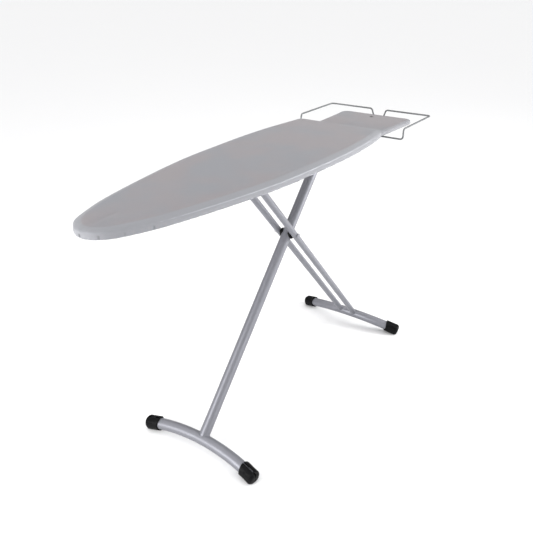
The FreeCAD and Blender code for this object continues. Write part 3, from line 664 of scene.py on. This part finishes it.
def paddedTop(name, coverNode, padNode, look):
    # one cover swept round its plan, shaded along its hem, creases and nose seam, and the pad inside it;
    # the seam is e^-(distance / width)^2 on the lower part of the wall
    low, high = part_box(coverNode)
    plan = spacedRing(planOf(coverNode), look["columns"])
    places, bend = plan[2:]
    gather, deep = gathers(places, bend, look)
    section, lastFree = coverSection(look, low.z, high.z)
    mesh, points = sweptPlan(name, plan, section, look, gather)
    free = np.repeat(np.arange(len(section)) < lastFree, look["columns"])
    floatAttribute(mesh, "free", free)
    # the nose seam line, darkened in the cover's colour: a seam thread line with painted shade in its groove
    seam = np.exp(-(places / look["seamWidth"]) ** 2) * look["seamShade"]
    lower = smoothStep(clothLook["shadeFrom"], clothLook["shadeFull"], section[:, 4])[:, None]
    points[..., :2] -= plan[1] * (lower * seam * look["seamDepth"])[..., None]
    mesh.vertices.foreach_set("co", points.astype(np.float32).ravel())
    # painted shade: the turned hem rows are darkened in the cover's colour
    hemTop, hemEnd = low.z + look["hemFold"], low.z + look["hemFold"] * clothLook["hemEnd"]
    turned = smoothStep(hemTop, hemEnd, section[:, 2])[:, None]
    # painted shade: the gather creases on the lower wall are darkened in the cover's colour
    paintedCreaseShade = lower ** clothLook["creaseHold"] * deep * clothLook["creaseShade"]
    folded = np.maximum(lower * seam, np.maximum(turned * look["hemShade"], paintedCreaseShade))
    floatAttribute(mesh, "folded", folded)
    weld(mesh, 1e-6, 60)
    freeNow = np.empty(len(mesh.vertices), np.float32)
    mesh.attributes["free"].data.foreach_get("value", freeNow)
    puffed(mesh, look, freeNow > 0.5)
    cover = place(name + "Cover", mesh, "board", "cover_fabric", finishes["cover_fabric"], coverNode)
    pad = sweptPlan(name + "Pad", plan, padSection(look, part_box(padNode)[0].z, high.z), look, gather * 0)[0]
    padPiece = place(name + "Pad", weld(pad, 1e-6, 60), "board", "felt", finishes["felt"], padNode)
    print(name, "cover and pad made,", len(mesh.vertices), "points")


boardTopLook = {
    "columns": 760, "topRows": 18, "edgeRows": 8, "sideRows": 7, "spineFront": 0.13, "spineBack": 0.15,
    "edge": 0.021, "rounding": 0.005, "fall": 0.0036, "crisp": 1.15, "beginTurn": 0.26, "crown": 0.0008,
    "cloth": 0.0012, "tuck": 0.0002, "bulge": 0.0006, "hem": 0.024, "hemFold": 0.0025, "bead": 0.0016,
    "gather": 0.0010, "calm": 0.02, "spacing": 0.024, "seed": 5,
    "seamWidth": 0.0022, "seamDepth": 0.0005, "seamShade": 0.95, "hemShade": 0.5,
    "fill": 0.5, "stretch": 12.0, "bending": 0.4, "pressure": 4.0, "steps": 12, "cap": 0.0016,
}
restTopLook = {
    "columns": 420, "topRows": 12, "edgeRows": 7, "sideRows": 5, "spineFront": 0.12, "spineBack": 0.13,
    "edge": 0.012, "rounding": 0.004, "fall": 0.0016, "crisp": 1.15, "beginTurn": 0.2, "crown": 0.0005,
    "cloth": 0.0012, "tuck": 0.0001, "bulge": 0.0003, "hem": 0.015, "hemFold": 0.002, "bead": 0.0013,
    "gather": 0.0008, "calm": 0.02, "spacing": 0.020, "seed": 9,
    "seamWidth": 0.001, "seamDepth": 0.0, "seamShade": 0.0, "hemShade": 0.5,
    "fill": 0.4, "stretch": 12.0, "bending": 0.4, "pressure": 4.0, "steps": 12, "cap": 0.0009,
}
paddedTop("board", "board_cover", "felt_pad", boardTopLook)
paddedTop("restPlate", "rest_plate_cover", "rest_plate_pad", restTopLook)


legLook = {
    "front": {"tube": 0.0175, "foot": 0.019, "drop": 0.019, "reach": 0.016, "offsets": (0.0,)},
    "rear": {"tube": 0.011, "foot": 0.018, "drop": 0.026, "reach": 0.012, "offsets": (-0.032, 0.032)},
    "footHalfWidth": 0.202, "footEndReach": 0.012, "weldBead": 0.0019,
}


def jointPoint(name):
    # where a joint lies in the shared frame, in metres
    return np.array(joints[name]["pos_m"], float)


def legLine(kind):
    # the leg's top pivot and the direction down to its foot
    crossing = jointPoint("leg_cross")
    top = jointPoint("leg_fold" if kind == "front" else "carriage_level")
    return top, unit(crossing - top)


def footPlace(kind):
    # middle of the foot tube, where the leg's line reaches the tube's height
    look = legLook[kind]
    top, down = legLine(kind)
    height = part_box(kind + "_foot_tube")[1].z - look["foot"]
    return top + down * ((top[2] - height) / -down[2]), down


def footArc(kind):
    # the foot tube's line: middle + sag down the leg, an arc of one radius in the leg's own plane
    look = legLook[kind]
    middle, down = footPlace(kind)
    sag = look["drop"] / -down[2]
    half = legLook["footHalfWidth"]
    bend = (half ** 2 + sag ** 2) / (2 * sag)
    turn = math.asin(half / bend)
    centre = middle + down * bend

    def at(angle):
        angle = np.asarray(angle, float)[..., None]
        return centre - down * bend * np.cos(angle) + np.array([0.0, 1.0, 0.0]) * bend * np.sin(angle)

    return at, turn, bend


def weldRing(kind, offset):
    # the bead where a leg tube meets its foot tube: s^2 + (r sin a)^2 = R^2 gives how far up the leg it lies
    look = legLook[kind]
    middle, down = footPlace(kind)
    across = np.array([0.0, 1.0, 0.0])
    front = np.cross(down, across)
    angle = np.linspace(0, 2 * np.pi, 120, endpoint=False)
    radius, foot = look["tube"], look["foot"]
    up = np.sqrt(foot ** 2 - (radius * np.sin(angle)) ** 2)
    line = (middle + across * offset + np.outer(np.cos(angle) * radius, across)
            + np.outer(np.sin(angle) * radius, front) - np.outer(up, down))
    way = unit(np.roll(line, -1, axis=0) - np.roll(line, 1, axis=0))
    out = unit(np.outer(np.cos(angle), across) + np.outer(np.sin(angle), front))
    other = np.cross(way, out)
    turn = np.linspace(0, 2 * np.pi, 10, endpoint=False)
    thick = legLook["weldBead"] * (1 + 0.13 * np.sin(angle * 28))
    ring = np.cos(turn)[:, None, None] * out[None] + np.sin(turn)[:, None, None] * other[None]
    points = line[None] + ring * thick[None, :, None]
    points = np.vstack([points, points[:1]])
    return weld(gridMesh("weldBead", points), 1e-6, 80)


def makeLegs():
    # straight leg tubes from above the top pivot down into the foot tube, a weld at each, and bent feet
    steel = finishes["leg_steel"]
    names = {"front": ["front_leg_tube"], "rear": ["rear_leg_tube_left", "rear_leg_tube_right"]}
    for kind, nodes in names.items():
        look = legLook[kind]
        top, down = legLine(kind)
        middle = footPlace(kind)[0]
        at, turn, bend = footArc(kind)
        for node, offset in zip(nodes, look["offsets"]):
            shift = np.array([0.0, offset, 0.0])
            path = np.linspace(top - down * look["reach"] + shift, middle + shift, 60)
            tube = tubeAlong(node, path, look["tube"], 72, 0.0004)
            mesh = joined(node, [tube, weldRing(kind, offset)])
            mesh.shade_smooth()
            mesh.set_sharp_from_angle(angle=math.radians(50))
            place(node.replace("_", "") + "Steel", mesh, kind + "_leg", "leg_steel", steel, node)
        furthest = turn + legLook["footEndReach"] / bend
        swing = np.linspace(-furthest, furthest, 90)
        foot = tubeAlong(kind + "Foot", at(swing), look["foot"], 72, 0.0004)
        place(kind + "FootSteel", foot, kind + "_leg", "leg_steel", steel, kind + "_foot_tube")
    print("legs and feet made")


makeLegs()

capLook = {
    "wall": 0.0045, "length": 0.052, "fit": 0.0002, "mouthDepth": 0.018, "endRound": 0.0115,
    "scallop": 0.0055, "slotLength": 0.023, "slotWidth": 0.0052, "slotDepth": 0.0022, "slotTurn": 55.0,
    "slotShift": 0.004, "square": 0.014, "sole": 0.0085, "soleOut": 0.0011, "columns": 120,
}


def footCap(kind, side, node):
    # a boot over the tube's end: radius follows the section (mouth, wall, rounded end) and the angle,
    # which squares the section a little, sets a slot into each upper side and flattens the sole on the floor
    look = capLook
    at, turn = footArc(kind)[:2]
    centre = at(side * turn)
    way = unit(at(side * (turn + 0.001)) - centre)
    up = unit(np.array([0.0, 0.0, 1.0]) - way * way[2])
    flat = np.cross(way, up)
    bore = legLook[kind]["foot"] + look["fit"]
    outer = legLook[kind]["foot"] + look["wall"]
    half = look["length"] / 2
    roundEnd = look["endRound"]
    swing = np.linspace(0, math.pi / 2, 10)
    stop = -half + look["mouthDepth"]
    section = [(stop, 0.0), (stop, bore), (-half + 0.0006, bore), (-half, bore + 0.0006),
               (-half, outer - 0.0016), (-half + 0.0004, outer - 0.0006), (-half + 0.0014, outer)]
    section += [(station, outer) for station in np.linspace(-half + 0.003, half - roundEnd, 40)]
    section += [(half - roundEnd + roundEnd * math.sin(turned), outer - roundEnd * (1 - math.cos(turned)))
                for turned in swing[1:]]
    section += [(half + 0.0006, (outer - roundEnd) * share) for share in (0.8, 0.5, 0.2, 0.0)]
    along, radius = np.array(section).T
    angle = np.linspace(0, 2 * np.pi, look["columns"], endpoint=False)
    along, radius = along[:, None], radius[:, None]
    isOut = (radius > bore + 0.0008) | (along > 0)
    square = 1 - look["square"] * np.cos(4 * angle)[None] * isOut
    sideways = np.abs(np.sin(angle))[None]
    fromTop = np.arccos(np.cos(angle))[None]
    aroundSide = np.abs(fromTop - math.radians(look["slotTurn"])) * outer
    acrossSlot = 1 - smoothStep(look["slotWidth"] * 0.5, look["slotWidth"] * 0.75, aroundSide)
    fromMiddle = np.abs(along - look["slotShift"])
    alongSlot = 1 - smoothStep(look["slotLength"] * 0.46, look["slotLength"] * 0.54, fromMiddle)
    slot = acrossSlot * alongSlot
    ring = radius * square - look["slotDepth"] * slot * isOut
    mouth = np.clip(-along / half, 0, 1) ** 2 * (radius > bore - 0.001)
    shift = along - look["scallop"] * (0.5 + 0.5 * np.cos(2 * angle))[None] * mouth
    points = (centre + shift[..., None] * way + (ring * np.cos(angle))[..., None] * up
              + (ring * np.sin(angle))[..., None] * flat)
    soleBand = 1 - smoothStep(look["sole"] * 0.8, look["sole"], points[..., 2])
    spread = unit(np.sin(angle)[None, :, None] * flat + 0 * points)
    points = points + spread * (look["soleOut"] * soleBand * isOut)[..., None] * sideways[..., None]
    points[..., 2] = np.maximum(points[..., 2], 0.0)
    mesh = weld(gridMesh(node, points), 1e-6, 45)
    plastic = finishes["black_plastic"]
    place(node.replace("_", "") + "Boot", mesh, kind + "_leg", "black_plastic", plastic, node)


for kind in ("front", "rear"):
    for side, hand in ((-1, "left"), (1, "right")):
        footCap(kind, side, kind + "_cap_" + hand)
print("foot caps made")


def makeHoops():
    # each hoop follows its CAD box: back from under the plate near the middle line, up, out along the rear,
    # forward along the side, down at the front and in under the plate again
    look = {"wire": 0.003, "bend": 0.011, "innerLow": 0.017, "innerHigh": 0.031, "inset": 0.097,
            "tail": 0.084}
    for side, hand in ((-1, "left"), (1, "right")):
        node = "iron_rest_" + hand
        low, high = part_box(node)
        wire = look["wire"]
        front, rear = low.x + wire, high.x - wire
        bottom, top = low.z + wire, high.z - wire
        outer = side * (max(abs(low.y), abs(high.y)) - wire)
        points = [(rear - look["tail"], side * look["innerLow"], bottom),
                  (rear, side * look["innerLow"], bottom), (rear, side * look["innerHigh"], top),
                  (rear, outer, top), (front, outer, top), (front, outer, bottom),
                  (front, side * look["inset"], bottom)]
        mesh = tubeAlong(node, roundedPath(points, look["bend"]), wire, 24, 0.0008)
        place("ironRest" + hand.capitalize(), mesh, "board", "wire_steel", finishes["wire_steel"], node)
    print("iron rest hoops made")


makeHoops()


def makePanel():
    # strands that zigzag along the board: y = y0 +- (half a row - part of a strand), every other strand
    # the other way about, so that neighbours meet
    look = {"cell": 0.024, "row": 0.0095, "strand": 0.0021, "thick": 0.0008, "margin": 0.004, "meet": 0.35}
    low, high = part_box("mesh_panel")
    outline = planOf("mesh_panel")
    side = outline[outline[:, 1] >= 0]
    side = side[np.argsort(side[:, 0])]
    rows = int((high.y - low.y) / look["row"])
    strands = []
    middle = (high.z + low.z) / 2
    stations = np.linspace(low.x, high.x, 600)
    reach = np.interp(stations, side[:, 0], side[:, 1]) - look["margin"] - look["row"] / 2
    for number in range(rows):
        y = (number - (rows - 1) / 2) * look["row"]
        room = stations[reach > abs(y)]
        if len(room) < 2:
            continue
        first = math.ceil(room.min() / (look["cell"] / 2))
        last = math.floor(room.max() / (look["cell"] / 2))
        if last - first < 2:
            continue
        steps = np.arange(first, last + 1)
        x = steps * look["cell"] / 2
        flip = np.where((steps + number) % 2, 1.0, -1.0)
        line = y + flip * (look["row"] / 2 - look["strand"] * look["meet"])
        half = look["strand"] / 2
        corners = [(-half, -look["thick"] / 2), (half, -look["thick"] / 2), (half, look["thick"] / 2),
                   (-half, look["thick"] / 2)]
        flatBar = np.array([np.column_stack([x, line + across, np.full(len(x), middle + rise)])
                            for across, rise in corners])
        ends = flatBar.mean(axis=0)
        grid = np.swapaxes(flatBar, 0, 1)
        closed = np.concatenate([np.repeat(ends[:1, None], 4, 1), grid, np.repeat(ends[-1:, None], 4, 1)])
        strands.append(gridMesh("strand", closed))
    mesh = weld(joined("meshPanel", strands), 1e-7, 30)
    place("expandedPanel", mesh, "board", "mesh_steel", finishes["mesh_steel"], "mesh_panel")
    print("expanded panel made from", len(strands), "strands")


makePanel()


def finishedCopy(node, sharpAngle=32):
    # a merged, smooth-shaded copy of a CAD node in its own finish
    mesh = frame["nodes"][node].data.copy()
    weld(mesh, 2e-6, sharpAngle)
    words = node.split("_")
    name = words[0] + "".join(word.capitalize() for word in words[1:])
    place(name, mesh, bodyOf[node], slotOf[node], finishes[slotOf[node]], node)


for nodeName in sorted(frame["nodes"]):
    if not frame["nodes"][nodeName].hide_render:
        finishedCopy(nodeName)
print("hardware finished")
